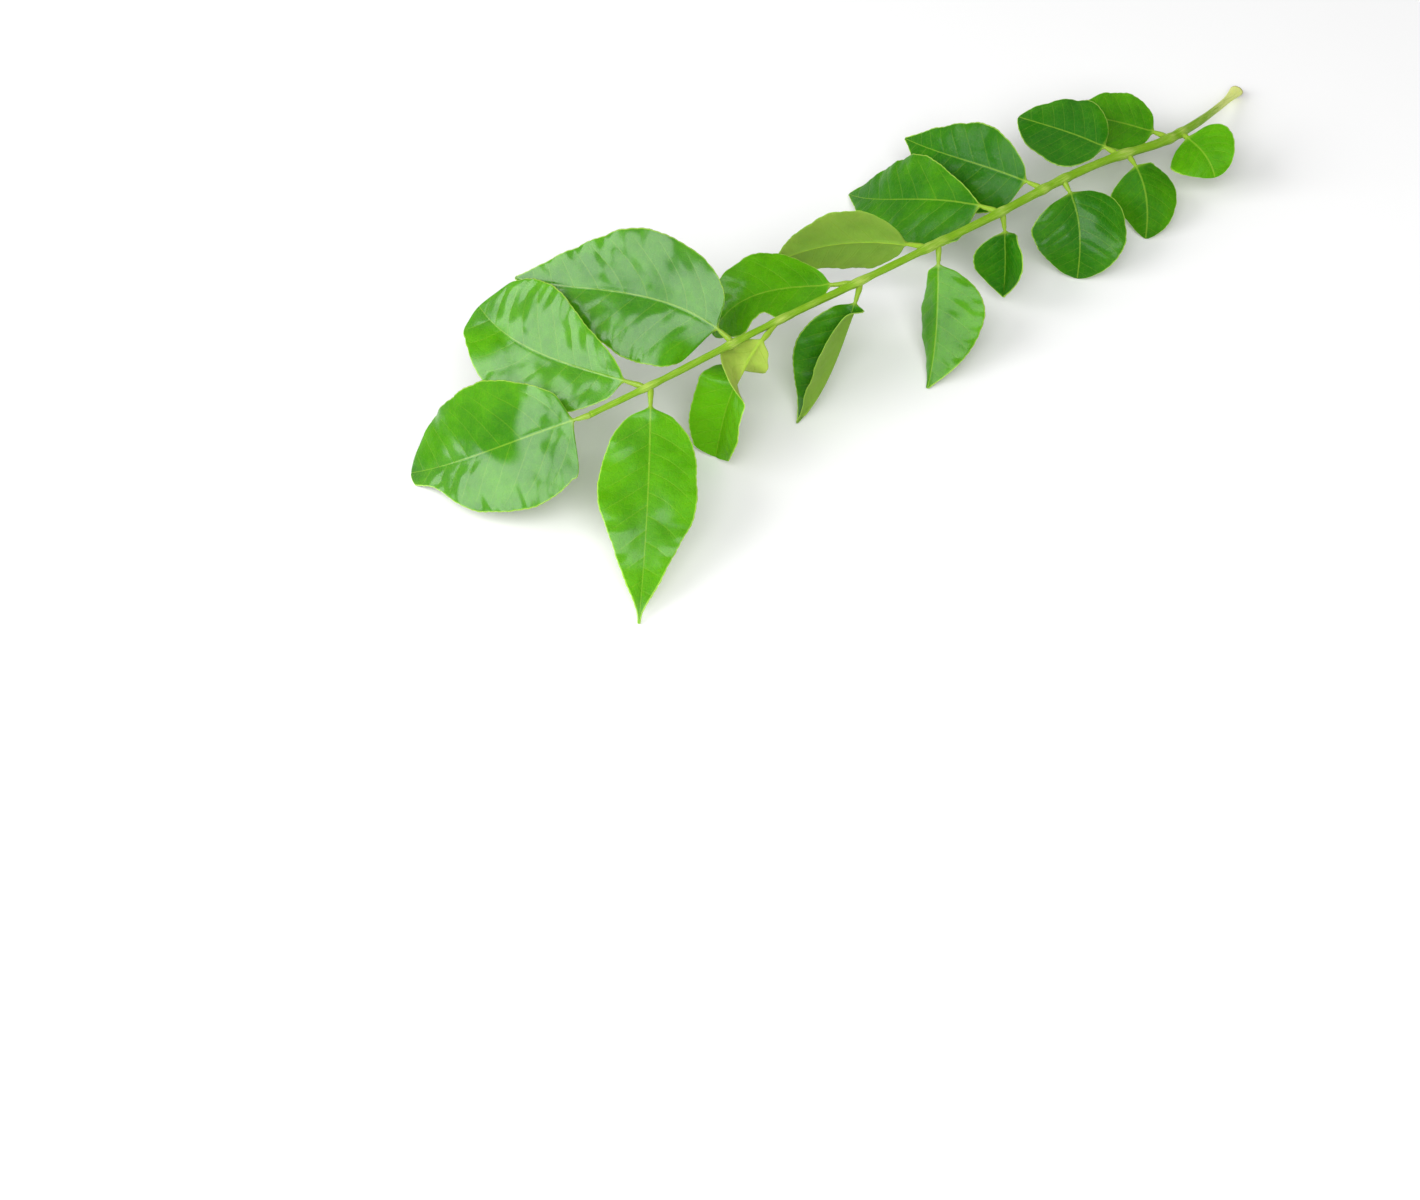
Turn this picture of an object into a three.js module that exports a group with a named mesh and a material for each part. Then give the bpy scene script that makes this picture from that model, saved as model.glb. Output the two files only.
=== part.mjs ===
// A freshly picked curry leaf sprig lying on a table: one pinnate leaf, whose arched
// stalk carries eight leaflets on each side and one at its tip.
//
// Units are millimetres and degrees, +Z is up and the table is the XY plane. The stalk
// grows towards -X. Right (+Y) and left (-Y) are as seen from above, looking along it.
import * as THREE from 'three';

// ---- Driving dimensions -------------------------------------------------------------

const TOUCH_GAP = 0.3; // clearance between a leaflet's own stalk and the main stalk
const TABLE_GAP = 0.02; // how close the pieces that rest on the table come to it

// The main stalk: the middle of its swollen foot, then points along its arch.
const STALK_ROUTE = [
  [120, 22, 1.16], [113, 18.5, 3.4], [98, 12, 8.5], [86, 9, 11.5], [71, 8.4, 14.5],
  [55, 6.8, 17], [36, 4, 19.2], [14, 1.6, 21.5], [-5, 0, 23], [-30, -1.2, 24],
  [-58, -2.4, 24], [-73, -1, 22],
];
const STALK_BASE_RADIUS = 1.1; // where the first leaflets join
const STALK_TIP_RADIUS = 0.65;
const SLENDER = 0.35; // how much thinner the stalk is just above its foot
const SLENDER_TO = 34;
const STALK_RING_STEP = 2.2;
const STALK_SIDES = 10;
const FOOT_LENGTH = 8; // the foot flares where it was seated on the twig
const FOOT_FLARE = [0.95, 0.45]; // added to the half width and the half height
const NODE_SWELL = 0.25; // where each leaflet joins
const NODE_REACH = 1.6;

// Every leaflet is a thin blade on a short round stalk of its own.
const LEAFLET_STALK_RADIUS = 0.5;
const LEAFLET_STALK_RINGS = 3;
const BLADE_RINGS = 14;
const BLADE_HALF_THICKNESS = 0.25;
const MIDRIB_DEPTH = 0.2; // how far the midrib stands out under the blade
const TIP_HALF_WIDTH = 0.25;

const LEFT = -1;
const RIGHT = 1;

// What a leaflet has unless its own row says otherwise. A list of three is the value at
// the leaflet's base, middle and tip; one number holds all along. A pair is left, right.
const COMMON = {
  stalk: 3, // length of the leaflet's own stalk
  broad: [0.42, 0.42], // how far along the blade each half is widest
  halves: [1, 1], // share that each half has of half the width
  full: 0.8, // below 1 the blade's ends are rounder
  point: 0.4, // how drawn out the tip is
  heading: 60, // turn away from the main stalk's direction, seen from above
  pitch: 0, // slope above the table
  roll: 0, // bank about the midrib, the right half down
  fold: [8, 8], // rise of each half from the midrib
  curl: [-12, -12], // how much each half bends on its way to the margin
  wave: 0.4, // height of the ripples along the margins
  ripples: 1.5,
  twist: null, // the stretch, 0 to 1, in which all of the roll's change happens
  dent: null, // where the left margin is drawn in, over what reach and by what share
  rests: false, // lowered about its joint until it touches the table
};

// at: distance from the stalk's foot. size: the blade's length and width.
const LEAFLETS = [
  { side: LEFT, at: 31, size: [12.5, 16], heading: 88, pitch: [10, -10, -70],
    stalk: 1, point: 0, full: 0.6, roll: 20 },
  { side: RIGHT, at: 35, size: [20, 17], heading: [50, 52, 65], pitch: [12, 0, -20],
    stalk: 2, point: 0, full: 0.65, roll: -10 },
  { side: LEFT, at: 49, size: [17, 16], heading: [95, 70, 45], pitch: [-20, -45, -60],
    stalk: 2, point: 0.1, full: 0.65, roll: 25, fold: [-30, 5], rests: true },
  { side: RIGHT, at: 51, size: [22, 19], heading: [65, 60, 75], pitch: [10, 0, -15],
    stalk: 2, point: 0.2, full: 0.7, roll: -15 },
  { side: LEFT, at: 69, size: [20, 22], heading: [90, 65, 45], pitch: [-20, -45, -70],
    stalk: 2, point: 0, full: 0.65, rests: true },
  { side: RIGHT, at: 75, size: [36, 21], heading: [70, 73, 88], pitch: [-2, -14, -18],
    broad: [0.33, 0.42], halves: [1.05, 0.85], roll: -44 },
  { side: LEFT, at: 88, size: [15, 15], heading: [70, 60, 50], pitch: [-50, -60, -65],
    fold: [70, 5] },
  { side: RIGHT, at: 89, size: [42, 24], heading: [62, 70, 100], pitch: [5, -22, -22],
    broad: [0.25, 0.54], halves: [0.92, 0.92], roll: -34, rests: true },
  { side: LEFT, at: 107, size: [27, 19], heading: [55, 53, 38], pitch: [-30, -50, -35],
    fold: [5, -55], halves: [1.1, 0.7], rests: true },
  { side: RIGHT, at: 110, size: [30, 20], heading: [50, 33, 22], pitch: [-2, -8, -28],
    roll: 85 },
  { side: LEFT, at: 129, size: [29, 19], heading: [40, 22, 5], pitch: [-30, -55, -30],
    fold: [95, 35], rests: true },
  { side: RIGHT, at: 130, size: [31, 20], heading: [32, 28, 5], pitch: [-8, -16, -85],
    broad: [0.5, 0.5], full: 0.65, point: 0.3, roll: -10, dent: [0.52, 0.13, 0.5] },
  { side: LEFT, at: 151, size: [29, 16], heading: [22, 16, 34], pitch: [-8, -62, -70],
    stalk: 1.5, broad: [0.6, 0.6], full: 0.38, point: 0, fold: [30, 30],
    roll: [165, 75, 10], twist: [0.18, 0.44], rests: true },
  { side: RIGHT, at: 163, size: [47, 28], heading: [65, 47, 68], pitch: [32, -2, -14],
    broad: [0.27, 0.38], roll: -36 },
  { side: LEFT, at: 184, size: [46, 21], heading: [57, 54, 51], pitch: [-25, -28, -32],
    broad: [0.38, 0.38], point: 0.8, rests: true },
  { side: RIGHT, at: 185, size: [40, 28], heading: [52, 66, 96], pitch: [4, -4, 2],
    broad: [0.6, 0.68], point: 0, full: 0.4, roll: -35, dent: [0.85, 0.25, 0.3] },
  { side: RIGHT, at: 200, size: [42, 29], heading: [22, 38, 62], pitch: [-10, -28, -32],
    broad: [0.32, 0.5], full: 0.46, point: 0, roll: -34, dent: [0.86, 0.2, 0.5],
    terminal: true, rests: true },
];

const LEAF_GREEN = 0x3f8f1f;
const YOUNG_GREEN = 0x6fb52b;
const STALK_GREEN = 0xa9c24a;

// ---- Helpers ------------------------------------------------------------------------

const UP = new THREE.Vector3(0, 0, 1);
const radians = THREE.MathUtils.degToRad;

// The value at t (0 to 1) of a number, or of a list for the base, middle and tip.
function along(value, t) {
  if (!Array.isArray(value)) return value;
  const [base, middle, tip] = value;
  return base * (1 - t) * (1 - 2 * t) + 4 * middle * t * (1 - t) + tip * t * (2 * t - 1);
}

// One closed skin through rings of equal length, its two ends closed by flat fans.
function skin(rings) {
  const count = rings[0].length;
  const indices = [];
  for (let ring = 0; ring + 1 < rings.length; ring += 1) {
    for (let side = 0; side < count; side += 1) {
      const a = ring * count + side;
      const b = ring * count + ((side + 1) % count);
      indices.push(a, b, b + count, a, b + count, a + count);
    }
  }
  const last = (rings.length - 1) * count;
  for (let side = 1; side + 1 < count; side += 1) {
    indices.push(0, side + 1, side);
    indices.push(last, last + side, last + side + 1);
  }
  const geometry = new THREE.BufferGeometry().setFromPoints(rings.flat());
  geometry.setIndex(indices);
  geometry.computeVertexNormals();
  return geometry;
}

// ---- The main stalk -----------------------------------------------------------------

const stalkCurve = new THREE.CatmullRomCurve3(
  STALK_ROUTE.map((point) => new THREE.Vector3(...point)),
);
stalkCurve.arcLengthDivisions = 400;
const stalkLength = stalkCurve.getLength();

// Half width and half height of the stalk's section at a distance from its foot.
function stalkSection(distance) {
  const taper = THREE.MathUtils.lerp(
    STALK_BASE_RADIUS, STALK_TIP_RADIUS, distance / stalkLength,
  );
  const radius = taper - SLENDER * (1 - THREE.MathUtils.smoothstep(distance, 0, SLENDER_TO));
  let swell = 0;
  for (const row of LEAFLETS) {
    swell = Math.max(swell, Math.exp(-(((distance - row.at) / NODE_REACH) ** 2)));
  }
  const foot = Math.max(0, 1 - distance / FOOT_LENGTH) ** 1.6;
  return FOOT_FLARE.map((extra) => radius + NODE_SWELL * swell + extra * foot);
}

function stalkGeometry() {
  const count = Math.round(stalkLength / STALK_RING_STEP);
  const rings = [];
  for (let ring = 0; ring <= count; ring += 1) {
    const distance = (stalkLength * ring) / count;
    const centre = stalkCurve.getPointAt(ring / count);
    const ahead = stalkCurve.getTangentAt(ring / count);
    const across = new THREE.Vector3().crossVectors(ahead, UP).normalize();
    const above = new THREE.Vector3().crossVectors(across, ahead);
    const [halfWidth, halfHeight] = stalkSection(distance);
    const points = [];
    for (let side = 0; side < STALK_SIDES; side += 1) {
      const angle = (2 * Math.PI * side) / STALK_SIDES;
      points.push(centre.clone()
        .addScaledVector(across, -halfWidth * Math.cos(angle))
        .addScaledVector(above, halfHeight * Math.sin(angle)));
    }
    rings.push(points);
  }
  return skin(rings);
}

// ---- The leaflets -------------------------------------------------------------------

// Directions of a leaflet at t, 0 at its joint and 1 at its tip: along its midrib,
// across to its right margin and up from its upper face.
function leafletFrame(row, t, extraPitch) {
  const heading = radians(180 - row.side * along(row.heading, t));
  const pitch = radians(along(row.pitch, t) + extraPitch);
  const roll = radians(row.twist
    ? THREE.MathUtils.lerp(row.roll[0], row.roll[2], THREE.MathUtils.smoothstep(t, ...row.twist))
    : along(row.roll, t));
  const ahead = new THREE.Vector3(
    Math.cos(heading) * Math.cos(pitch), Math.sin(heading) * Math.cos(pitch), Math.sin(pitch),
  );
  const across = new THREE.Vector3(Math.sin(heading), -Math.cos(heading), 0);
  across.applyAxisAngle(ahead, roll);
  const above = new THREE.Vector3().crossVectors(across, ahead);
  return { ahead, across, above };
}

// Width of one half of the blade at u, 0 at its base and 1 at its tip.
function bladeHalfWidth(row, u, half) {
  const widest = Math.log(0.5) / Math.log(row.broad[half]);
  const outline = Math.sin(Math.PI * u ** widest) ** row.full * (1 - row.point * u ** 4);
  const least = THREE.MathUtils.lerp(LEAFLET_STALK_RADIUS, TIP_HALF_WIDTH, u);
  const kept = row.dent && half === 0
    ? 1 - row.dent[2] * Math.exp(-(((u - row.dent[0]) / row.dent[1]) ** 2))
    : 1;
  return Math.max(least, 0.5 * row.size[1] * row.halves[half] * outline * kept);
}

// A point of the section: v runs from -1 at the left margin to 1 at the right one, and
// face is 1 on the upper face, -1 on the lower one and 0 on the margin.
function sectionPoint(row, centre, frame, section, v, face) {
  const half = v < 0 ? 0 : 1;
  const reach = Math.abs(v);
  const sideways = Math.sign(v);
  const halfWidth = section.halfWidths[half];
  const rise = radians((row.fold[half] + 0.5 * row.curl[half] * reach) * section.open);
  const slope = radians((row.fold[half] + row.curl[half] * reach) * section.open);
  const thickness = face * Math.sqrt(1 - reach * reach)
    * (section.halfThickness + (face < 0 && v === 0 ? MIDRIB_DEPTH * section.open : 0));
  const outward = halfWidth * reach * Math.cos(rise)
    - (v === 0 ? 0 : thickness * Math.sin(slope));
  const upward = halfWidth * reach * Math.sin(rise)
    + section.ripple[half] * reach * reach
    + thickness * (v === 0 ? 1 : Math.cos(slope));
  return centre.clone()
    .addScaledVector(frame.across, sideways * outward)
    .addScaledVector(frame.above, upward);
}

// Rings of ten points: the left margin, five across the upper face, the right margin and
// three back across the lower face.
function leafletRings(row, start, extraPitch) {
  const length = row.stalk + row.size[0];
  const stations = [];
  for (let ring = 0; ring < LEAFLET_STALK_RINGS; ring += 1) {
    stations.push((row.stalk * ring) / LEAFLET_STALK_RINGS);
  }
  for (let ring = 0; ring <= BLADE_RINGS; ring += 1) {
    const even = ring / BLADE_RINGS;
    const u = 0.5 * even + 0.25 * (1 - Math.cos(Math.PI * even));
    stations.push(row.stalk + row.size[0] * u);
  }
  const centre = start.clone();
  let previous = 0;
  return stations.map((distance) => {
    const between = leafletFrame(row, (distance + previous) / (2 * length), extraPitch);
    centre.addScaledVector(between.ahead, distance - previous);
    previous = distance;
    const frame = leafletFrame(row, distance / length, extraPitch);
    const u = Math.max(0, (distance - row.stalk) / row.size[0]);
    const open = THREE.MathUtils.smoothstep(u, 0, 0.12);
    const ripple = [0, 1].map((half) => row.wave * Math.sin(Math.PI * u) * open
      * Math.sin(2 * Math.PI * (row.ripples * u + 0.35 * half + 0.13 * row.at)));
    const section = {
      open,
      ripple,
      halfWidths: [0, 1].map((half) => bladeHalfWidth(row, u, half)),
      halfThickness: THREE.MathUtils.lerp(LEAFLET_STALK_RADIUS, BLADE_HALF_THICKNESS, open),
    };
    const place = (v, face) => sectionPoint(row, centre, frame, section, v, face);
    return [
      place(-1, 0),
      ...[-2 / 3, -1 / 3, 0, 1 / 3, 2 / 3].map((v) => place(v, 1)),
      place(1, 0),
      ...[0.5, 0, -0.5].map((v) => place(v, -1)),
    ];
  });
}

// Where a leaflet's own stalk begins: just clear of the main stalk's skin.
function leafletStart(row) {
  if (row.terminal) {
    const end = stalkCurve.getPointAt(1);
    return end.addScaledVector(stalkCurve.getTangentAt(1), TOUCH_GAP);
  }
  const place = row.at / stalkLength;
  const grown = stalkCurve.getTangentAt(place);
  const { ahead } = leafletFrame(row, 0, 0);
  const angle = grown.angleTo(ahead);
  const [radius] = stalkSection(row.at);
  const clear = radius + TOUCH_GAP + LEAFLET_STALK_RADIUS * Math.abs(Math.cos(angle));
  return stalkCurve.getPointAt(place).addScaledVector(ahead, clear / Math.sin(angle));
}

function lowest(rings) {
  return Math.min(...rings.flat().map((point) => point.z));
}

// The extra slope that brings a resting leaflet down, or up, to touch the table.
function restingPitch(row, start) {
  let low = -40;
  let high = 40;
  for (let pass = 0; pass < 30; pass += 1) {
    const middle = 0.5 * (low + high);
    if (lowest(leafletRings(row, start, middle)) > TABLE_GAP) high = middle;
    else low = middle;
  }
  return high;
}

function leafletGeometry(row) {
  const start = leafletStart(row);
  return skin(leafletRings(row, start, row.rests ? restingPitch(row, start) : 0));
}

// ---- The sprig ----------------------------------------------------------------------

function piece(name, geometry, color, roughness) {
  const material = new THREE.MeshStandardMaterial({ color, roughness, metalness: 0 });
  const mesh = new THREE.Mesh(geometry, material);
  mesh.name = name;
  return mesh;
}

const sprig = new THREE.Group();
sprig.add(piece('stalk', stalkGeometry(), STALK_GREEN, 0.6));

const counts = { [LEFT]: 0, [RIGHT]: 0 };
for (const given of LEAFLETS) {
  const row = { ...COMMON, ...given };
  counts[row.side] += 1;
  const side = row.side === LEFT ? 'left' : 'right';
  const name = row.terminal ? 'leaflet_terminal' : `leaflet_${side}_${counts[row.side]}`;
  const young = row.at > stalkLength * 0.7;
  sprig.add(piece(name, leafletGeometry(row), young ? YOUNG_GREEN : LEAF_GREEN, 0.4));
}

// The origin goes to the middle of the sprig's footprint, on the table.
const box = new THREE.Box3().setFromObject(sprig);
const middle = box.getCenter(new THREE.Vector3());
sprig.position.set(-middle.x, -middle.y, -box.min.z);

export default sprig;
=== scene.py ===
"""Curry leaf sprig: the finished look of one freshly picked sprig lying on a table.

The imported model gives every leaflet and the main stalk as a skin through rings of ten
points. Each operator reads those rings back, draws a much finer closed skin through them
and adds what the real leaf has: a thin blade with a midrib and side veins, waved and
finely toothed margins, and a round stalk of its own that runs into the main stalk.
"""

import math

import bmesh
import bpy
import numpy as np
from bpy.props import FloatProperty, FloatVectorProperty, PointerProperty
from mathutils import Matrix, Vector


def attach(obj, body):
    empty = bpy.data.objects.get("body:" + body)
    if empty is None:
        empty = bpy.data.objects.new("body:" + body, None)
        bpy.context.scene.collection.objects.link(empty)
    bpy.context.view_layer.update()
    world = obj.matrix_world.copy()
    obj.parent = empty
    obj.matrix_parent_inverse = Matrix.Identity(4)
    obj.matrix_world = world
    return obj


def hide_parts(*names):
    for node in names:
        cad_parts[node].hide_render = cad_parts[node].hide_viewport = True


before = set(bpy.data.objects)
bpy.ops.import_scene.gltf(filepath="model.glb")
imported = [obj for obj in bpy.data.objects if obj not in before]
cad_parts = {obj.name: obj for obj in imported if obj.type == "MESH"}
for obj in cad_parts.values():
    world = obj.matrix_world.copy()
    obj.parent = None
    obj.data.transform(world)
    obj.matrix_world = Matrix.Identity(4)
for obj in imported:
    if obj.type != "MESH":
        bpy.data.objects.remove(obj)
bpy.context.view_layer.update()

bl_info = {
    "name": "Curry leaf sprig",
    "version": (1, 0, 0),
    "blender": (4, 5, 0),
    "location": "3D View > Sidebar > Sprig",
    "description": "Models and finishes one curry leaf sprig round its packed model",
    "category": "Object",
}

MM = 0.001
BODY = "root"

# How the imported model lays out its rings.
RING_POINTS = 10
RING_TOP = math.radians(72.0)  # the highest point of a round ring
UPPER_LINES = 7  # left margin, five lines over the upper face, right margin
UPPER_MIDDLE = UPPER_LINES // 2  # the line over the midrib
LOWER_MIDDLE = 8  # the point under the midrib
STALK_RINGS = 3  # rings of a leaflet's own stalk, before its blade begins
WIDE_RINGS = slice(6, 15)  # rings where a blade is well open
HALF_SPLITS = (3, 6, 8)  # where the edges of a ring pass from one half face to the next
FLAT_ANGLE = 0.01  # radians between faces that lie in one flat end
PACKED_MERGE = 1e-6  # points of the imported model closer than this, in metres, are one
SKIN_MERGE = 1e-5  # points of a finished skin closer than this, in millimetres, are one

# How far a leaflet's own stalk reaches into the main stalk, in millimetres.
ROOT_LIMIT = 6.0
ROOT_STEP = 0.1
ROOT_DEPTH = 0.45  # from the middle of the main stalk
TERMINAL_ROOT = 1.0  # added for the leaflet at the tip

# The side veins, in millimetres.
VEIN_SPACING = 0.9
VEIN_SPACING_GROWTH = 0.085  # more spacing for every millimetre of blade
VEIN_SLANT = 0.55
VEIN_BEND = 0.018
VEIN_SHIFT = 0.45  # how far the right half's veins are out of step with the left's

# The main stalk's skin.
STALK_SIDES = 32
JOINT_WINDOW = 20  # rings on either side that a swelling is measured against

# The set, in metres.
FLOOR_SIZE = 6.0
FLOOR_DROP = 0.0001
SOFTBOX_SIZE = (0.95, 0.75)
KEY_PLACE = (-0.89, 0.24, 0.64)
FILL_PLACE = (-0.4, -0.58, 0.84)
SPRIG_MIDDLE = (0.0, 0.0, 0.0)
SENSOR_WIDTH = 36.0  # millimetres

PLANT_IOR = 1.45

LEFT_LEAFLETS = [f"leaflet_left_{number}" for number in range(1, 9)]
RIGHT_LEAFLETS = [f"leaflet_right_{number}" for number in range(1, 9)]
TERMINAL_LEAFLET = "leaflet_terminal"
LEAFLETS = LEFT_LEAFLETS + RIGHT_LEAFLETS + [TERMINAL_LEAFLET]

# How young and yellow each leaflet is, 0 to 1, and how much water film it still carries.
YOUTH = {
    "leaflet_left_1": 0.6, "leaflet_left_2": 0.3, "leaflet_left_3": 0.15,
    "leaflet_left_4": 0.1, "leaflet_left_5": 0.5, "leaflet_left_6": 0.2,
    "leaflet_left_7": 0.95, "leaflet_left_8": 0.62,
    "leaflet_right_1": 0.45, "leaflet_right_2": 0.1, "leaflet_right_3": 0.12,
    "leaflet_right_4": 0.22, "leaflet_right_5": 0.3, "leaflet_right_6": 0.6,
    "leaflet_right_7": 0.38, "leaflet_right_8": 0.52, "leaflet_terminal": 0.42,
}
WET = {
    "leaflet_right_7": 0.95, "leaflet_right_8": 0.95, "leaflet_terminal": 0.95,
    "leaflet_left_8": 0.5, "leaflet_right_2": 0.45, "leaflet_left_3": 0.3,
    "leaflet_right_6": 0.3, "leaflet_left_5": 0.4, "leaflet_left_7": 0.3,
}


# ---- Settings -----------------------------------------------------------------------


def colour(name, description, value):
    return FloatVectorProperty(
        name=name, description=description, default=value, subtype="COLOR",
        size=3, min=0.0, max=1.0,
    )


def length(name, description, millimetres):
    return FloatProperty(
        name=name, description=description, default=millimetres * MM, unit="LENGTH",
        min=0.0,
    )


class SprigBlade(bpy.types.PropertyGroup):
    """Sizes and colours of the leaflets"""

    thickness: length("Thickness", "Thickness of the blade between its veins", 0.28)
    mesh_step: length("Mesh step", "Distance between the points of a finished blade", 0.32)
    midrib_depth: length("Midrib depth", "How far the midrib stands out underneath", 0.38)
    midrib_width: length("Midrib width", "Half width of the midrib at its base", 0.42)
    vein_relief: length("Vein relief", "Depth of the side veins", 0.03)
    vein_width: length("Vein width", "Half width of a side vein", 0.26)
    quilting: length("Quilting", "How far the blade puffs up between its veins", 0.045)
    wave: length("Margin wave", "Height of the small waves along the margin", 0.22)
    wave_length: length("Wave length", "Distance between the waves of the margin", 7.5)
    wander: length("Wander", "How far the outline goes in and out along the margin", 0.34)
    tooth: length("Tooth", "Depth of the fine blunt teeth of the margin", 0.13)
    tooth_step: length("Tooth step", "Distance between the teeth", 1.7)
    mature: colour("Mature leaf", "Upper face of an old leaflet", (0.017, 0.15, 0.0008))
    young: colour("Young leaf", "Upper face of a young leaflet", (0.115, 0.41, 0.001))
    underside: colour("Underside", "Matt lower face", (0.19, 0.36, 0.04))
    young_underside: colour("Young underside", "Lower face of a young leaflet",
                            (0.4, 0.54, 0.08))
    vein: colour("Vein", "Midrib and side veins", (0.32, 0.52, 0.04))
    margin: colour("Margin", "The thin pale line round a leaflet", (0.46, 0.7, 0.1))
    blemish: colour("Blemish", "Dry spots", (0.16, 0.09, 0.02))


class SprigStalk(bpy.types.PropertyGroup):
    """Sizes and colours of the main stalk"""

    mesh_step: length("Mesh step", "Distance between the rings of the finished stalk", 0.5)
    groove: length("Groove", "Depth of the channel along the top", 0.16)
    ridge: length("Ridges", "Height of the fine ridges along the stalk", 0.035)
    green: colour("Stalk green", "Skin of the stalk", (0.19, 0.4, 0.008))
    pale: colour("Pale green", "Foot, joints and ridges", (0.78, 0.84, 0.26))
    scar: colour("Scar", "Dry end of the foot", (0.42, 0.33, 0.13))


class SprigStage(bpy.types.PropertyGroup):
    """Floor, lights and camera"""

    floor: colour("Floor", "Plain pale floor", (0.93, 0.93, 0.93))
    key: FloatProperty(
        name="Key", description="Radiant power of the large softbox to the left",
        default=10.0, unit="POWER",
    )
    fill: FloatProperty(
        name="Fill", description="Radiant power of the softbox beside the camera",
        default=9.5, unit="POWER",
    )
    sky: FloatProperty(
        name="Sky", description="Brightness of the pale room round the table",
        default=0.3, min=0.0,
    )
    azimuth: FloatProperty(
        name="Azimuth", description="Turn of the camera round the sprig",
        default=math.radians(-33.0), unit="ROTATION",
    )
    elevation: FloatProperty(
        name="Elevation", description="Height of the camera above the horizon",
        default=math.radians(50.0), unit="ROTATION",
    )
    distance: length("Distance", "From the camera to the point it looks at", 690.0)
    aim: FloatVectorProperty(
        name="Aim", description="The point on the table that the camera looks at",
        default=(-0.0773, -0.0436, 0.0), unit="LENGTH", size=3,
    )
    lens: FloatProperty(name="Lens", description="Focal length in mm", default=85.0)


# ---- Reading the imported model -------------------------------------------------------


def flat_ends(mesh):
    """Groups of faces that each close one end of a skin, the larger end first."""
    ends = []
    seen = set()
    for first in mesh.faces:
        if first in seen:
            continue
        seen.add(first)
        group, waiting = [], [first]
        while waiting:
            face = waiting.pop()
            group.append(face)
            for other in {f for edge in face.edges for f in edge.link_faces} - seen:
                if other.normal.angle(face.normal, math.pi) < FLAT_ANGLE:
                    seen.add(other)
                    waiting.append(other)
        corners = {corner for face in group for corner in face.verts}
        if len(group) == RING_POINTS - 2 and len(corners) == RING_POINTS:
            ends.append(group)
    return sorted(ends, key=lambda group: -sum(face.calc_area() for face in group))


def chain(follows):
    """The points of one ring in order, from a table of which point follows which.

    One link may be missing, where the mesh has its diagonal across the ring.
    """
    if len(follows) < RING_POINTS - 1:
        return None
    loose = set(follows) - set(follows.values())
    ring = [min(loose or follows)]
    while follows.get(ring[-1], ring[0]) not in ring:
        ring.append(follows[ring[-1]])
    return ring if len(ring) == RING_POINTS else None


def walk(mesh, end):
    """Point numbers ring by ring, from the given end to the other one.

    There is no answer where the given faces are not an end after all.
    """
    linked = {frozenset(v.index for v in edge.verts) for edge in mesh.edges}
    inside = set(end)
    follows = {}
    for face in inside:
        for edge in face.edges:
            for loop in edge.link_loops:
                if loop.face not in inside:
                    follows[loop.vert.index] = loop.link_loop_next.vert.index
    rings = [chain(follows)]
    if rings[0] is None:
        return None
    used = set(rings[0])
    while len(used) < len(mesh.verts):
        last = set(rings[-1])
        follows = {}
        for face in mesh.faces:
            corners = [v.index for v in face.verts]
            for turn in range(3):
                near, start, stop = corners[turn], corners[turn - 2], corners[turn - 1]
                if near in last and not {start, stop} & used:
                    follows[stop] = start
        ring = chain(follows)
        if ring is None:
            return None

        def links(shift):
            return sum(
                frozenset((point, ring[(at + shift + step) % RING_POINTS])) in linked
                for at, point in enumerate(rings[-1]) for step in (0, 1)
            )

        best = max(range(RING_POINTS), key=links)
        rings.append(ring[best:] + ring[:best])
        used.update(ring)
    return rings


def ring_points(name):
    """A node's rings of points in millimetres, from its thick end to its thin one."""
    mesh = bmesh.new()
    mesh.from_mesh(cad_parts[name].data)
    bmesh.ops.remove_doubles(mesh, verts=mesh.verts, dist=PACKED_MERGE)
    mesh.verts.index_update()
    mesh.verts.ensure_lookup_table()
    walks = (walk(mesh, end) for end in flat_ends(mesh))
    rings = next((rings for rings in walks if rings), None)
    if rings is None:
        raise RuntimeError(f"{name} has no flat end to start from")
    points = np.array([[mesh.verts[index].co[:] for index in ring] for ring in rings])
    mesh.free()
    return points / MM


# ---- Curves -------------------------------------------------------------------------


def smooth_step(value, low, high):
    part = np.clip((value - low) / (high - low), 0.0, 1.0)
    return part * part * (3.0 - 2.0 * part)


def through(knots, values, places):
    """A smooth curve through the values at the knots, read at the places."""
    shape = (-1,) + (1,) * (values.ndim - 1)
    gap = np.diff(knots).reshape(shape)
    slope = np.diff(values, axis=0) / gap
    inner = (slope[:-1] * gap[1:] + slope[1:] * gap[:-1]) / (gap[:-1] + gap[1:])
    first, last = 2 * slope[:1] - inner[:1], 2 * slope[-1:] - inner[-1:]
    tangent = np.concatenate([first, inner, last])
    cell = np.clip(np.searchsorted(knots, places) - 1, 0, len(knots) - 2)
    width = gap[cell]
    t = ((places - knots[cell]) / np.diff(knots)[cell]).reshape(shape)
    return (
        values[cell] * (1 + 2 * t) * (1 - t) ** 2
        + values[cell + 1] * t * t * (3 - 2 * t)
        + width * tangent[cell] * t * (1 - t) ** 2
        - width * tangent[cell + 1] * t * t * (1 - t)
    )


def unit(vectors):
    return vectors / np.maximum(np.linalg.norm(vectors, axis=-1, keepdims=True), 1e-9)


def run_length(points):
    """Distance along a line of points, from its first one."""
    steps = np.linalg.norm(np.diff(points, axis=0), axis=-1)
    return np.concatenate([[0.0], np.cumsum(steps)])


# ---- Making meshes ------------------------------------------------------------------


def deselect_all():
    if bpy.context.object and bpy.context.object.mode != "OBJECT":
        bpy.ops.object.mode_set(mode="OBJECT")
    bpy.ops.object.select_all(action="DESELECT")


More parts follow.
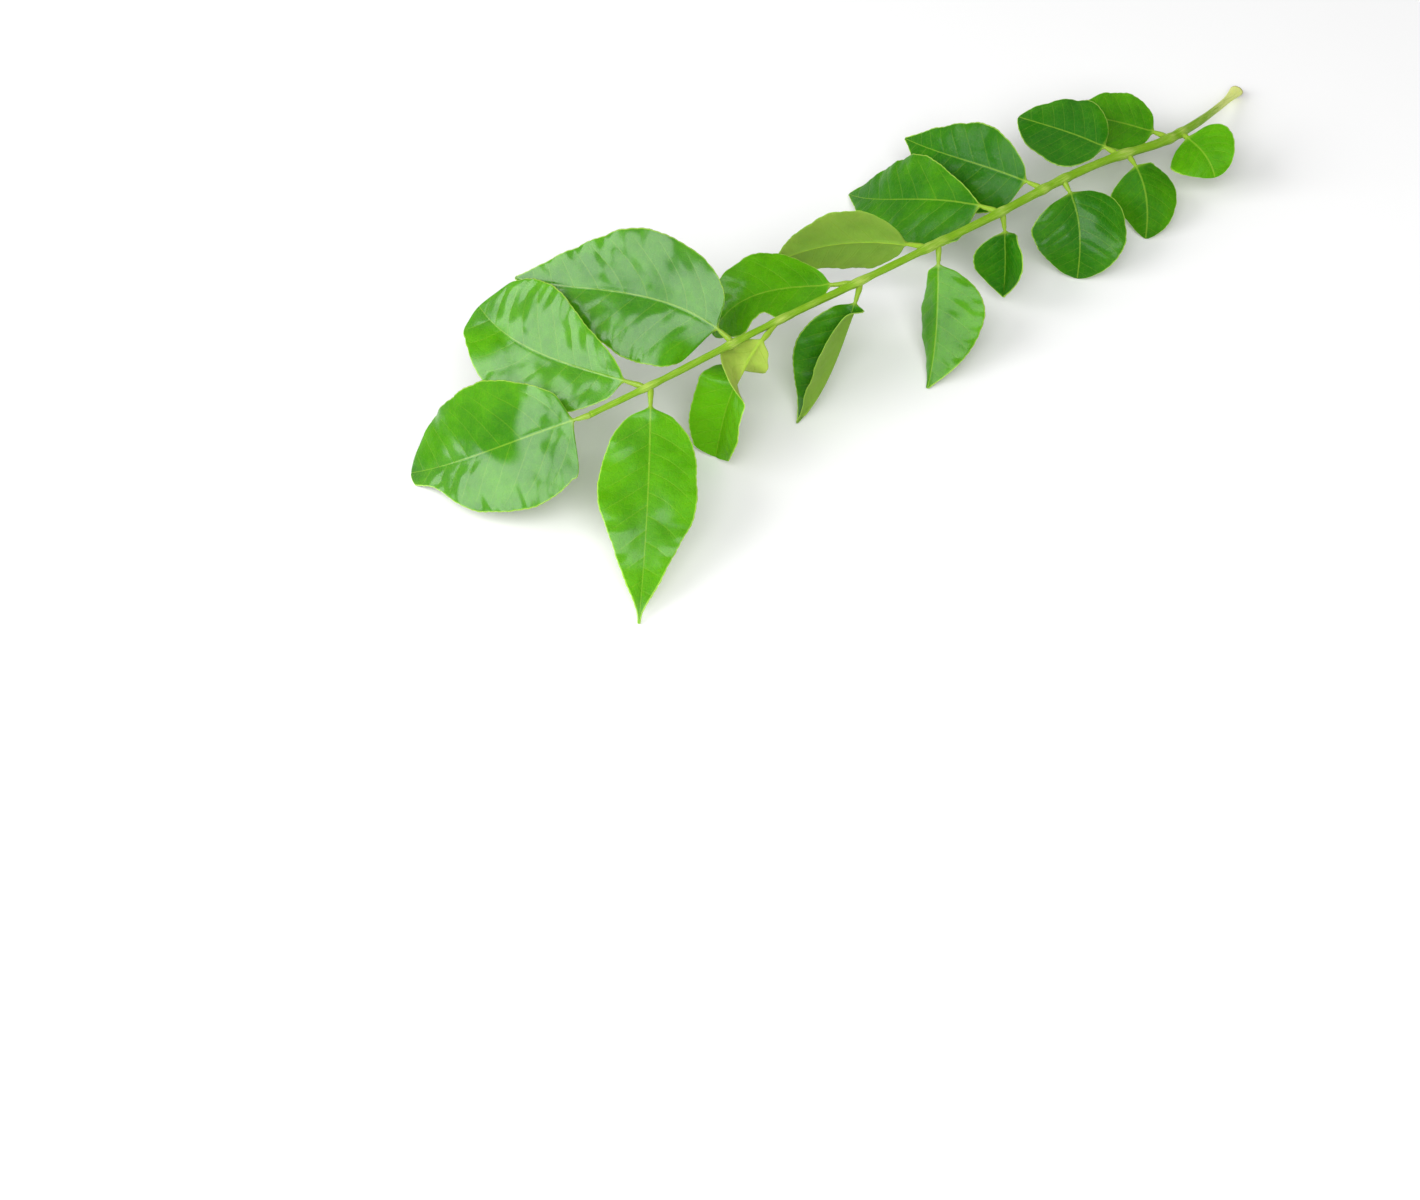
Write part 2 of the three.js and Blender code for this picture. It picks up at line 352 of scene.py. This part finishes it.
def sleeve(name, points, attributes):
    """A closed skin wrapped from a grid: rows run along the piece, columns round it.

    points is rows x columns x 3 in millimetres, with the last column on the first. The
    first and last rows are single points that close the ends.
    """
    rows, columns = points.shape[:2]
    deselect_all()
    bpy.ops.mesh.primitive_grid_add(
        x_subdivisions=columns - 1, y_subdivisions=rows - 1, size=2.0,
    )
    piece = bpy.context.object
    piece.name = piece.data.name = name
    mesh = piece.data
    flat = np.empty(len(mesh.vertices) * 3)
    mesh.vertices.foreach_get("co", flat)
    flat = flat.reshape(-1, 3)
    column = np.rint((flat[:, 0] + 1.0) * 0.5 * (columns - 1)).astype(int)
    row = np.rint((flat[:, 1] + 1.0) * 0.5 * (rows - 1)).astype(int)
    mesh.vertices.foreach_set("co", points[row, column].ravel())
    for label, values in attributes.items():
        kind, field = ("FLOAT_VECTOR", "vector") if values.ndim == 3 else ("FLOAT", "value")
        layer = mesh.attributes.new(label, kind, "POINT")
        layer.data.foreach_set(field, values[row, column].ravel())
    bpy.ops.object.mode_set(mode="EDIT")
    bpy.ops.mesh.select_all(action="SELECT")
    # Merged while in millimetres: in metres the smallest merging distance is too coarse.
    bpy.ops.mesh.remove_doubles(threshold=SKIN_MERGE)
    bpy.ops.mesh.select_all(action="DESELECT")
    bpy.ops.object.mode_set(mode="OBJECT")
    mesh.transform(Matrix.Scale(MM, 4))
    bpy.ops.object.shade_smooth()
    return piece


# ---- Leaflets -----------------------------------------------------------------------


class LeafShape:
    """The middle surface of one leaflet, read from its rings."""

    def __init__(self, name):
        rings = ring_points(name)
        # From the left margin on, the edges of a ring are three over each half of the
        # upper face and two under each half. Both faces of a half are equally wide.
        edges = np.linalg.norm(np.roll(rings, -1, axis=1) - rings, axis=-1)[WIDE_RINGS]

        def mismatch(first):
            parts = np.split(np.roll(edges, -first, axis=1), HALF_SPLITS, axis=1)
            left_over, right_over, right_under, left_under = (
                part.sum(axis=1) for part in parts)
            uneven = np.abs(left_over - left_under) + np.abs(right_over - right_under)
            return uneven.sum()

        rings = np.roll(rings, -min(range(RING_POINTS), key=mismatch), axis=1)
        depth = rings[:, UPPER_MIDDLE] - rings[:, LOWER_MIDDLE]
        self.above = unit(depth)
        lines = np.linspace(-1.0, 1.0, UPPER_LINES)
        crown = 0.5 * np.linalg.norm(depth, axis=-1)[:, None] * np.sqrt(1.0 - lines ** 2)
        self.lines = lines
        self.sheet = rings[:, :UPPER_LINES] - self.above[:, None] * crown[..., None]
        self.station = run_length(self.sheet[:, UPPER_MIDDLE])
        self.blade_start = self.station[STALK_RINGS]
        self.end = self.station[-1]

    def points(self, stations, across):
        """Points of the sheet at distances along the leaflet and places across it."""
        sheet = through(self.station, self.sheet, stations).swapaxes(0, 1)
        whole = through(self.lines, sheet, across)
        to_middle, from_middle = slice(UPPER_MIDDLE + 1), slice(UPPER_MIDDLE, None)
        left = through(self.lines[to_middle], sheet[to_middle], across[across < 0])
        right = through(self.lines[from_middle], sheet[from_middle], across[across >= 0])
        creased = np.concatenate([left, right])
        return (0.5 * whole + 0.5 * creased).swapaxes(0, 1)


def spread_across(count):
    """Places from -1 to 1, closer together at the midrib and at the margins."""
    even = np.linspace(0.0, 1.0, count + 1)
    half = 0.42 * even + 0.58 * 0.5 * (1.0 - np.cos(math.pi * even))
    return np.concatenate([-half[:0:-1], half])


def two_waves(v, left, right):
    """One wave along the left half of a blade and another one along its right half."""
    return np.sin(2 * math.pi * np.where(v < 0, left, right))


def leaflet(name, blade, stalk_line):
    """One finished leaflet over its node."""
    number = LEAFLETS.index(name)
    rng = np.random.default_rng(100 + number)
    shape = LeafShape(name)
    blade_length = shape.end - shape.blade_start
    widest = np.linalg.norm(shape.sheet[:, -1] - shape.sheet[:, 0], axis=-1).max()
    step = blade.mesh_step / MM

    # Stations run from inside the main stalk to the tip and gather near the tip.
    start = shape.sheet[0, UPPER_MIDDLE]
    ahead = unit(shape.sheet[1, UPPER_MIDDLE] - start)
    root = 0.0
    while root < ROOT_LIMIT:
        gap = np.linalg.norm(stalk_line - (start - ahead * root), axis=-1).min()
        root += ROOT_STEP
        if gap < ROOT_DEPTH:
            break
    root += TERMINAL_ROOT if name == TERMINAL_LEAFLET else 0.0
    rows = int((shape.end + root) / step)
    even = np.linspace(0.0, 1.0, rows)
    reach = 0.55 * even + 0.45 * np.sin(0.5 * math.pi * even)
    stations = -root + (shape.end + root) * reach
    across = spread_across(max(14, int(0.5 * widest / step)))

    # Behind its first ring the leaflet's own stalk goes straight on.
    sheet = shape.points(np.maximum(stations, 0.0), across)
    sheet = sheet + ahead * np.minimum(stations, 0.0)[:, None, None]
    width = np.linalg.norm(np.diff(sheet, axis=1), axis=-1)
    along_width = np.concatenate([np.zeros((rows, 1)), np.cumsum(width, axis=1)], axis=1)
    a = along_width - along_width[:, [len(across) // 2]]
    v = np.broadcast_to(across, a.shape)
    edge = np.abs(v)
    d = np.broadcast_to((stations - shape.blade_start)[:, None], a.shape)
    u = np.clip(d / blade_length, 0.0, 1.0)
    open_blade = smooth_step(u, 0.0, 0.07)
    sideways = unit(np.gradient(sheet, axis=1))
    normal = unit(np.cross(sideways, np.gradient(sheet, axis=0)))
    facing = through(shape.station, shape.above, np.maximum(stations, 0.0))
    normal *= np.sign((normal * facing[:, None]).sum(axis=-1).mean())

    # Side veins leave the midrib and bend towards the tip.
    spacing = VEIN_SPACING + VEIN_SPACING_GROWTH * blade_length
    wobble = 0.16 * np.sin(0.9 * d / spacing + 6.3 * rng.random()) + 0.1 * np.sin(
        0.35 * a + 6.3 * rng.random())
    phase = (d - VEIN_SLANT * np.abs(a) - VEIN_BEND * a * a) / spacing + wobble
    phase = phase + np.where(v < 0, 0.0, VEIN_SHIFT) + 20.0 * (number + 1)
    off_vein = np.abs(phase - np.rint(phase)) * spacing * 0.86
    vein_width = blade.vein_width / MM
    veined = open_blade * smooth_step(u, 0.03, 0.12) * (1.0 - smooth_step(u, 0.9, 0.99))
    vein = np.exp(-(off_vein / vein_width) ** 2)
    vein = vein * (1.0 - smooth_step(edge, 0.7, 0.97)) * veined
    puff = np.cos(2 * math.pi * phase) * smooth_step(np.abs(a), 0.5, 3.0)
    puff = -puff * (1.0 - smooth_step(edge, 0.6, 1.0)) * veined * blade.quilting / MM

    # Slow swells of the blade, and the short waves of its margin.
    turns = rng.random(12)
    swell = 0.2 * np.sin(2 * math.pi * (d / 17.0 + a / 23.0 + turns[0]))
    swell = swell + 0.07 * np.sin(2 * math.pi * (d / 9.0 - a / 12.0 + turns[1]))
    swell = swell * open_blade * smooth_step(np.abs(a), 0.8, 4.0)
    beat = d / (blade.wave_length / MM)
    ripple = two_waves(v, beat + turns[2], 1.13 * beat + turns[3])
    fine = two_waves(v, 2.7 * beat + turns[4], 2.3 * beat + turns[5])
    ripple = (ripple + 0.35 * fine) * edge ** 3 * np.sin(math.pi * u) ** 0.6
    lift = puff + swell + ripple * blade.wave / MM * min(1.0, widest / 18.0)

    # Blunt teeth push the margin out and in.
    tooth_beat = d / (blade.tooth_step / MM) + 0.3 * np.sin(d / 2.3 + 6.0 * turns[6])
    tooth = np.abs(np.sin(math.pi * (tooth_beat + np.where(v < 0, 0.0, 0.4)))) - 0.6
    tooth = tooth * blade.tooth / MM * edge ** 14 * open_blade
    tooth = tooth * (1.0 - smooth_step(u, 0.93, 1.0))

    # The outline wanders slowly, so that no two margins match.
    bay = two_waves(v, d / 16.0 + turns[7], d / 19.0 + turns[8])
    nick = two_waves(v, d / 6.1 + turns[9], d / 5.3 + turns[10])
    outline = (bay + 0.22 * nick) * edge ** 4 * np.sin(math.pi * u) ** 0.7
    outline = outline * blade.wander / MM * min(1.0, widest / 20.0)

    outward = sideways * ((tooth + outline) * np.sign(v))[..., None]
    middle = sheet + normal * lift[..., None] + outward

    # Thickness: a round stalk that thins into the blade, its midrib standing out below.
    swollen = 1.0 + 0.35 * np.exp(-((stations + 0.2) / 1.1) ** 2)[:, None]
    rod = 0.5 * swollen * np.sqrt(np.clip(1.0 - v * v, 0.0, 1.0))
    rim = np.sqrt(np.clip(1.0 - edge ** (2.0 + 22.0 * open_blade), 0.0, 1.0))
    leaf_half = 0.5 * blade.thickness / MM * rim
    rib = 1.0 - 0.8 * u ** 0.7
    rib_width = blade.midrib_width / MM * (0.4 + 0.6 * rib)
    across_rib = np.exp(-(a / rib_width) ** 2)
    below = leaf_half + blade.midrib_depth / MM * rib * across_rib
    above = leaf_half + 0.1 * rib * np.exp(-(a / (0.6 * rib_width)) ** 2)
    above = above - 0.11 * (0.3 + 0.7 * rib) * open_blade * (
        np.exp(-(a / (1.7 * rib_width)) ** 2)) * rim
    relief = blade.vein_relief / MM * vein
    above = above - relief
    below = below + 0.9 * relief
    above = rod + (above - rod) * open_blade
    below = rod + (below - rod) * open_blade
    swell_out = (swollen - 1.0) * (1.0 - open_blade)
    middle = middle + sideways * (a * swell_out)[..., None]

    top = middle + normal * above[..., None]
    under = middle - normal * below[..., None]
    margins = [0, -1]
    top[:, margins] = under[:, margins] = middle[:, margins]
    skin = np.concatenate([top, under[:, -2::-1]], axis=1)
    skin[0] = skin[0].mean(axis=0)
    skin[-1] = sheet[-1, len(across) // 2]

    def round_leaf(values):
        return np.concatenate([values, values[:, -2::-1]], axis=1)

    upper = np.ones_like(a)
    upper[:, margins] = 0.5
    upper = np.concatenate([upper, 1.0 - upper[:, -2::-1]], axis=1)
    youth = np.full_like(upper, YOUTH[name])
    chart = np.stack([round_leaf(a), round_leaf(d), round_leaf(edge)], axis=-1)
    traits = np.stack([round_leaf(phase), upper, youth], axis=-1)
    # The seed is the leaflet's number, with half its wetness after the decimal point.
    seed = np.full_like(upper, number + WET.get(name, 0.0) * 0.5)
    return sleeve(f"{name}_blade", skin, {"chart": chart, "traits": traits, "seed": seed})


# ---- Materials ----------------------------------------------------------------------


class Value:
    """A number or colour that changes over a surface. Sums on numbers add Math nodes."""

    def __init__(self, finish, socket):
        self.finish = finish
        self.socket = socket

    def sum(self, operation, *terms):
        return self.finish.add(
            "ShaderNodeMath", {"operation": operation}, dict(enumerate(terms)),
        )

    def __add__(self, other):
        return self.sum("ADD", self, other)

    def __radd__(self, other):
        return self.sum("ADD", other, self)

    def __sub__(self, other):
        return self.sum("SUBTRACT", self, other)

    def __mul__(self, other):
        return self.sum("MULTIPLY", self, other)

    def __truediv__(self, other):
        return self.sum("DIVIDE", self, other)

    def __rtruediv__(self, other):
        return self.sum("DIVIDE", other, self)

    def __abs__(self):
        return self.sum("ABSOLUTE", self)


class Finish:
    """One material and the nodes that make it."""

    def __init__(self, name):
        self.material = bpy.data.materials.new(name)
        self.material.use_nodes = True
        self.tree = self.material.node_tree
        self.tree.nodes.clear()

    def add(self, kind, settings=None, inputs=None, output=0):
        """Adds a node: its settings first, then the values or links of its sockets."""
        node = self.tree.nodes.new(kind)
        for label, value in (settings or {}).items():
            setattr(node, label, value)
        for key, value in (inputs or {}).items():
            if isinstance(value, Value):
                self.tree.links.new(value.socket, node.inputs[key])
            else:
                node.inputs[key].default_value = value
        return Value(self, node.outputs[output]) if node.outputs else None

    def parts(self, vector):
        split = self.add("ShaderNodeSeparateXYZ", inputs={0: vector})
        return [Value(self, socket) for socket in split.socket.node.outputs]

    def attribute(self, label, output="Vector"):
        return self.add("ShaderNodeAttribute", {"attribute_name": label}, output=output)

    def vector(self, x, y, z):
        return self.add("ShaderNodeCombineXYZ", inputs={0: x, 1: y, 2: z})

    def blend(self, factor, first, second):
        """From the first colour to the second one."""
        pair = [(*c, 1.0) if isinstance(c, tuple) else c for c in (first, second)]
        return self.add(
            "ShaderNodeMix", {"data_type": "RGBA"}, {0: factor, 6: pair[0], 7: pair[1]}, 2,
        )

    def step(self, value, low, high, start=0.0, stop=1.0):
        """A smooth change from start to stop as the value goes from low to high."""
        return self.add(
            "ShaderNodeMapRange", {"interpolation_type": "SMOOTHSTEP"},
            {0: value, 1: low, 2: high, 3: start, 4: stop},
        )

    def noise(self, place, scale, detail=2.0, roughness=0.5):
        return self.add(
            "ShaderNodeTexNoise", {"noise_dimensions": "3D"},
            {"Vector": place, "Scale": scale, "Detail": detail, "Roughness": roughness},
        )

    def cell_walls(self, place, scale):
        """Distance from the nearest wall between irregular cells."""
        return self.add(
            "ShaderNodeTexVoronoi", {"feature": "DISTANCE_TO_EDGE"},
            {"Vector": place, "Scale": scale},
        )

    def bump(self, height, distance):
        return self.add("ShaderNodeBump", inputs={"Height": height, "Distance": distance})

    def surface(self, **inputs):
        """The finished surface. Underscores in names stand for spaces."""
        named = {key.replace("_", " "): value for key, value in inputs.items()}
        shader = self.add("ShaderNodeBsdfPrincipled", inputs=named)
        self.add("ShaderNodeOutputMaterial", inputs={"Surface": shader})
        return self.material


def leaf_material(name, blade):
    """A waxy leaflet: glossy above, pale and matt below, thin enough to glow."""
    leaf = Finish(name)
    a, d, edge = leaf.parts(leaf.attribute("chart"))
    phase, upper, youth = leaf.parts(leaf.attribute("traits"))
    seed = leaf.attribute("seed", "Fac")
    place = leaf.vector(a, d, seed * 31.0)
    wide = abs(a)

    patches = leaf.noise(place, 0.13, 2.0)
    mottle = leaf.noise(place, 0.55, 3.0, 0.6)
    grain = leaf.noise(place, 4.5, 2.0, 0.6)

    off_vein = abs(phase - leaf.add("ShaderNodeMath", {"operation": "ROUND"}, {0: phase}))
    side_vein = leaf.step(off_vein, 0.008, 0.05, 1.0, 0.0)
    side_vein = side_vein * leaf.step(edge, 0.7, 0.98, 1.0, 0.0)
    side_vein = side_vein * leaf.step(d, 0.5, 2.5)
    rib_reach = leaf.step(d, 0.0, 40.0, 0.2, 0.08)
    midrib = leaf.step(wide / rib_reach, 0.55, 1.35, 1.0, 0.0)
    net = leaf.step(leaf.cell_walls(place, 0.85), 0.0, 0.09, 1.0, 0.0)
    rim_distance = wide * (1.0 / edge - 1.0)
    rim = leaf.step(rim_distance, 0.1, 0.34, 1.0, 0.0) * leaf.step(edge, 0.5, 0.7)
    own_stalk = leaf.step(d, -0.4, 1.0, 1.0, 0.0)

    # Upper face.
    tint = youth + (patches - 0.5) * 0.55 + (mottle - 0.5) * 0.3
    tint = tint + leaf.step(edge, 0.3, 1.0, 0.0, 0.1)
    top = leaf.blend(leaf.step(tint, 0.0, 1.0), tuple(blade.mature), tuple(blade.young))
    top = leaf.blend((grain - 0.5) * 0.5 + 0.1, top, tuple(0.62 * c for c in blade.mature))
    top = leaf.blend(net * 0.05 + side_vein * 0.14, top, tuple(blade.vein))
    top = leaf.blend(midrib * 0.42, top, tuple(blade.vein))
    top = leaf.blend(rim * 0.75, top, tuple(blade.margin))

    # Underside.
    low = leaf.blend(
        leaf.step(tint, 0.15, 1.1), tuple(blade.underside), tuple(blade.young_underside),
    )
    low = leaf.blend((mottle - 0.5) * 0.5 + 0.15, low, tuple(0.7 * c for c in blade.underside))
    low = leaf.blend(net * 0.12 + side_vein * 0.25, low, tuple(0.7 * c for c in blade.vein))
    low = leaf.blend(midrib * 0.6, low, tuple(blade.vein))

    skin = leaf.blend(upper, low, top)
    spots = leaf.step(leaf.noise(place, 1.3, 4.0, 0.7), 0.7, 0.76)
    spots = spots * leaf.step(leaf.noise(place, 0.21, 1.0), 0.56, 0.66)
    skin = leaf.blend(spots * 0.75, skin, tuple(blade.blemish))
    skin = leaf.blend(own_stalk, skin, tuple(0.82 * c for c in blade.vein))

    film = leaf.step(leaf.noise(place, 0.045, 1.0, 0.4), 0.42, 0.5)
    wet = leaf.add("ShaderNodeMath", {"operation": "FRACT"}, {0: seed}) * 2.0
    wet = (wet * 0.85 + 0.1) * film * upper
    rough_top = 0.48 + (mottle - 0.5) * 0.2 + (grain - 0.5) * 0.08
    roughness = 0.7 + (rough_top - 0.7) * upper + own_stalk * 0.1
    pebbles = leaf.noise(place, 1.15, 2.0, 0.5)
    height = pebbles * 1.1 + grain * 0.2 - net * 0.35 * upper - side_vein * 0.4
    return leaf.surface(
        Base_Color=skin, Roughness=roughness, Coat_Weight=wet,
        Coat_Roughness=0.19, IOR=PLANT_IOR, Specular_IOR_Level=0.1, Subsurface_Weight=0.35,
        Subsurface_Radius=(0.5, 1.0, 0.2), Subsurface_Scale=0.0005,
        Normal=leaf.bump(height, 0.00009),
    )


def stalk_material(name, stalk):
    """The fibrous skin of the main stalk."""
    skin = Finish(name)
    turn, run, joint = skin.parts(skin.attribute("run"))
    place = skin.vector(skin.add("ShaderNodeMath", {"operation": "COSINE"}, {0: turn}) * 1.2,
                        skin.add("ShaderNodeMath", {"operation": "SINE"}, {0: turn}) * 1.2,
                        run * 0.12)
    streaks = skin.noise(place, 3.2, 3.0, 0.6)
    patches = skin.noise(skin.vector(run * 0.3, turn * 0.3, 4.0), 0.6, 2.0)
    grain = skin.noise(skin.vector(turn * 1.2, run, 0.0), 3.0, 3.0)
    tint = (streaks - 0.5) * 1.1 + (patches - 0.5) * 0.5 + 0.16
    pale = skin.step(run, 2.0, 26.0, 0.95, 0.0) + joint * 0.28
    base = skin.blend(skin.step(tint + pale, 0.0, 1.4), tuple(stalk.green), tuple(stalk.pale))
    base = skin.blend(
        skin.step(grain, 0.62, 0.74) * 0.35, base, tuple(0.5 * c for c in stalk.green))
    base = skin.blend(skin.step(run, 0.2, 1.2, 0.9, 0.0), base, tuple(stalk.scar))
    return skin.surface(
        Base_Color=base, Roughness=0.5 + (grain - 0.5) * 0.3, IOR=PLANT_IOR,
        Specular_IOR_Level=0.2,
        Subsurface_Weight=0.25, Subsurface_Radius=(0.8, 1.0, 0.3), Subsurface_Scale=0.0006,
        Normal=skin.bump(streaks * 0.7 + grain * 0.5, 0.00012),
    )


def plain_material(name, tone):
    floor = Finish(name)
    fine = floor.noise(floor.add("ShaderNodeTexCoord", output="Object"), 60.0, 2.0)
    dull = tuple(0.995 * c for c in tone)
    return floor.surface(
        Base_Color=floor.blend(fine, tuple(tone), dull), Roughness=0.75 + fine * 0.05,
        Specular_IOR_Level=0.2,
    )


def dress(piece, node, material):
    """Gives a finished piece its material and its body, and hides the node that it stands for.
    """
    piece.data.materials.clear()
    piece.data.materials.append(material)
    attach(piece, BODY)
    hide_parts(node)


# ---- Operators ----------------------------------------------------------------------


def stalk_centres():
    """Points close together down the middle of the main stalk, in millimetres."""
    centres = ring_points("stalk").mean(axis=1)
    run = run_length(centres)
    return through(run, centres, np.linspace(0.0, run[-1], 1000))


def leaflets(context, names):
    blade = context.scene.sprig_blade
    middle = stalk_centres()
    for name in names:
        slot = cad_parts[name].data.materials[0].name
        label = f"finish_{slot}"
        material = bpy.data.materials.get(label) or leaf_material(label, blade)
        dress(leaflet(name, blade, middle), name, material)


class SPRIG_OT_stalk(bpy.types.Operator):
    """Make the main stalk"""

    bl_idname = "sprig.stalk"
    bl_label = "Main stalk"

    def execute(self, context):
        stalk = context.scene.sprig_stalk
        rings = ring_points("stalk")
        centres = rings.mean(axis=1)
        run = run_length(centres)
        ahead = unit(np.gradient(centres, axis=0))
        sideways = unit(np.cross(ahead, (0.0, 0.0, 1.0)))
        upward = np.cross(sideways, ahead)
        spokes = rings - centres[:, None]
        half_width = np.abs((spokes * sideways[:, None]).sum(axis=-1)).max(axis=1)
        half_height = np.abs((spokes * upward[:, None]).sum(axis=-1)).max(axis=1)
        half_height = half_height / math.sin(RING_TOP)

        count = int(run[-1] / (stalk.mesh_step / MM))
        places = np.linspace(0.0, run[-1], count)
        centre = through(run, centres, places)
        ahead = unit(np.gradient(centre, axis=0))
        sideways = unit(np.cross(ahead, (0.0, 0.0, 1.0)))
        upward = np.cross(sideways, ahead)
        wide = through(run, half_width, places)
        high = through(run, half_height, places)
        window = np.ones(2 * JOINT_WINDOW + 1) / (2 * JOINT_WINDOW + 1)
        slow = np.convolve(np.pad(wide, JOINT_WINDOW, "edge"), window, "same")
        slow = slow[JOINT_WINDOW:-JOINT_WINDOW]
        joint = np.clip((wide - slow) * 5.0, 0.0, 1.0)

        turns = np.linspace(0.0, 2.0 * math.pi, STALK_SIDES + 1)
        turn, place = np.meshgrid(turns, places)
        ridges = stalk.ridge / MM * (
            np.sin(7.0 * turn + 1.2 * np.sin(place / 23.0))
            + 0.6 * np.sin(11.0 * turn + 2.0 * np.sin(place / 31.0))
        )
        groove = stalk.groove / MM * np.exp(-((turn - 0.5 * math.pi) / 0.42) ** 2)
        groove = groove * smooth_step(place, 8.0, 20.0)
        uneven = 0.06 * np.sin(place / 3.1 + 2.0 * turn) * np.sin(place / 7.7)
        radius = 1.0 + (ridges - groove + uneven) / np.maximum(wide[:, None], 0.5)
        # Both ends are rounded off: the foot tightly, the tip a little less so.
        end = np.minimum(place / 0.35, (run[-1] - place) / 0.5)
        inward = 1.0 - np.clip(end, 0.0, 1.0)
        radius = radius * np.sqrt(np.clip(1.0 - inward ** 2, 0.0, 1.0))
        skin = (
            centre[:, None]
            - sideways[:, None] * (wide[:, None] * np.cos(turn) * radius)[..., None]
            + upward[:, None] * (high[:, None] * np.sin(turn) * radius)[..., None]
        )
        chart = np.stack([turn, place, np.broadcast_to(joint[:, None], turn.shape)], axis=-1)
        piece = sleeve("stalk_skin", skin, {"run": chart})
        dress(piece, "stalk", stalk_material("finish_stalk", stalk))
        return {"FINISHED"}


class SPRIG_OT_left_leaflets(bpy.types.Operator):
    """Make the eight leaflets on the left side of the stalk"""

    bl_idname = "sprig.left_leaflets"
    bl_label = "Left leaflets"

    def execute(self, context):
        leaflets(context, LEFT_LEAFLETS)
        return {"FINISHED"}


class SPRIG_OT_right_leaflets(bpy.types.Operator):
    """Make the eight leaflets on the right side of the stalk"""

    bl_idname = "sprig.right_leaflets"
    bl_label = "Right leaflets"

    def execute(self, context):
        leaflets(context, RIGHT_LEAFLETS)
        return {"FINISHED"}


class SPRIG_OT_terminal_leaflet(bpy.types.Operator):
    """Make the leaflet at the end of the stalk"""

    bl_idname = "sprig.terminal_leaflet"
    bl_label = "Terminal leaflet"

    def execute(self, context):
        leaflets(context, [TERMINAL_LEAFLET])
        return {"FINISHED"}


def softbox(name, power, place):
    """A rectangular area light that faces the sprig."""
    deselect_all()
    bpy.ops.object.light_add(type="AREA", location=place)
    lamp = bpy.context.object
    lamp.name = name
    lamp.data.shape = "RECTANGLE"
    lamp.data.size, lamp.data.size_y = SOFTBOX_SIZE
    lamp.data.energy = power
    towards = Vector(SPRIG_MIDDLE) - Vector(place)
    lamp.rotation_euler = towards.to_track_quat("-Z", "Y").to_euler()


class SPRIG_OT_stage(bpy.types.Operator):
    """Set out the floor, the lights and the camera"""

    bl_idname = "sprig.stage"
    bl_label = "Floor, lights and camera"

    def execute(self, context):
        stage = context.scene.sprig_stage
        deselect_all()
        bpy.ops.mesh.primitive_plane_add(size=FLOOR_SIZE, location=(0.0, 0.0, -FLOOR_DROP))
        floor = context.object
        floor.name = "floor"
        bpy.ops.object.transform_apply(location=True, rotation=True, scale=True)
        floor.data.materials.append(plain_material("floor_paper", stage.floor))

        softbox("key", stage.key, KEY_PLACE)
        softbox("fill", stage.fill, FILL_PLACE)

        world = bpy.data.worlds.new("room")
        context.scene.world = world
        world.use_nodes = True
        sky = world.node_tree.nodes["Background"]
        sky.inputs["Color"].default_value = (1.0, 1.0, 1.0, 1.0)
        sky.inputs["Strength"].default_value = stage.sky
        context.scene.view_settings.view_transform = "Standard"

        bpy.ops.object.camera_add()
        camera = context.object
        camera.name = "camera"
        flat = math.cos(stage.elevation)
        back = Vector((
            math.sin(stage.azimuth) * flat, -math.cos(stage.azimuth) * flat,
            math.sin(stage.elevation),
        ))
        camera.location = Vector(stage.aim) + back * stage.distance
        camera.rotation_mode = "QUATERNION"
        camera.rotation_quaternion = (-back).to_track_quat("-Z", "Y")
        camera.data.lens = stage.lens
        camera.data.sensor_width = SENSOR_WIDTH
        context.scene.camera = camera
        return {"FINISHED"}


class SPRIG_PT_panel(bpy.types.Panel):
    """Lists the sprig's settings and the steps that make it"""

    bl_label = "Curry leaf sprig"
    bl_idname = "SPRIG_PT_panel"
    bl_space_type = "VIEW_3D"
    bl_region_type = "UI"
    bl_category = "Sprig"

    def draw(self, context):
        for operator in OPERATORS:
            self.layout.operator(operator.bl_idname)
        for label in SETTINGS:
            box = self.layout.box()
            settings = getattr(context.scene, label)
            for key in settings.bl_rna.properties.keys():
                if key not in {"rna_type", "name"}:
                    box.prop(settings, key)


OPERATORS = [
    SPRIG_OT_stage, SPRIG_OT_stalk, SPRIG_OT_left_leaflets, SPRIG_OT_right_leaflets,
    SPRIG_OT_terminal_leaflet,
]
SETTINGS = {
    "sprig_blade": SprigBlade, "sprig_stalk": SprigStalk, "sprig_stage": SprigStage,
}


def register():
    for kind in [*SETTINGS.values(), *OPERATORS, SPRIG_PT_panel]:
        bpy.utils.register_class(kind)
    for label, kind in SETTINGS.items():
        setattr(bpy.types.Scene, label, PointerProperty(type=kind))


def unregister():
    for label in SETTINGS:
        delattr(bpy.types.Scene, label)
    for kind in reversed([*SETTINGS.values(), *OPERATORS, SPRIG_PT_panel]):
        bpy.utils.unregister_class(kind)


def main():
    register()
    bpy.ops.sprig.stage()
    bpy.ops.sprig.stalk()
    bpy.ops.sprig.left_leaflets()
    bpy.ops.sprig.right_leaflets()
    bpy.ops.sprig.terminal_leaflet()
    deselect_all()


if __name__ == "__main__":
    main()
